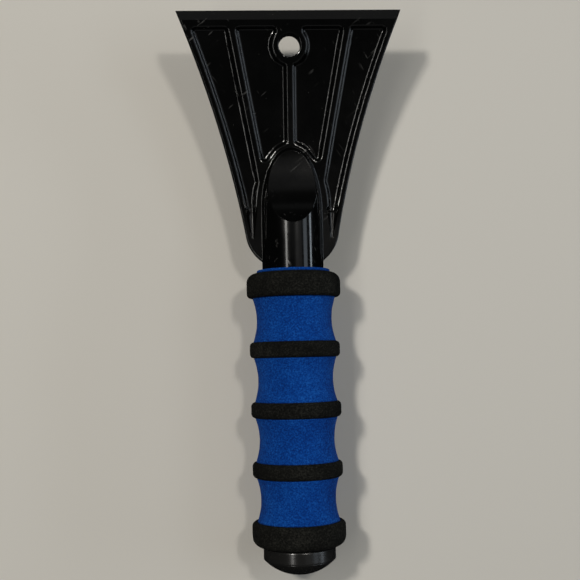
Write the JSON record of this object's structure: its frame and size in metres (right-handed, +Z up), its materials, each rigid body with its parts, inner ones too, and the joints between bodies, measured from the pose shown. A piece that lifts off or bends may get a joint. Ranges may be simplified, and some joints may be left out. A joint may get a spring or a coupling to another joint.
{
  "type": "windshield ice scraper",
  "caption": "Hand ice scraper: ribbed, curved plastic blade head with a hang hole on a round tube handle, laminated foam grip and end cap.",
  "frame": {"origin": "bottom centre of the bounding box, where the grip rests on a flat surface", "axes": "+X across the blade, +Y along the handle towards the blade, +Z up, out of the ribbed side"},
  "size_m": [0.1016, 0.257, 0.0437],
  "materials": {
    "head_plastic": "gloss black, moulded",
    "cap_plastic": "satin black, moulded",
    "black_foam": "matt fine-celled black foam",
    "blue_foam": "matt fine-celled blue foam"
  },
  "bodies": {
    "root": {"scraper_head": "head_plastic", "foam_end_ring_front": "black_foam", "foam_mid_ring_1": "black_foam", "foam_mid_ring_2": "black_foam", "foam_mid_ring_3": "black_foam", "foam_end_ring_rear": "black_foam", "foam_front_collar": "blue_foam", "foam_waist_1": "blue_foam", "foam_waist_2": "blue_foam", "foam_waist_3": "blue_foam", "foam_waist_4": "blue_foam", "end_cap": "cap_plastic"}
  },
  "joints": []
}
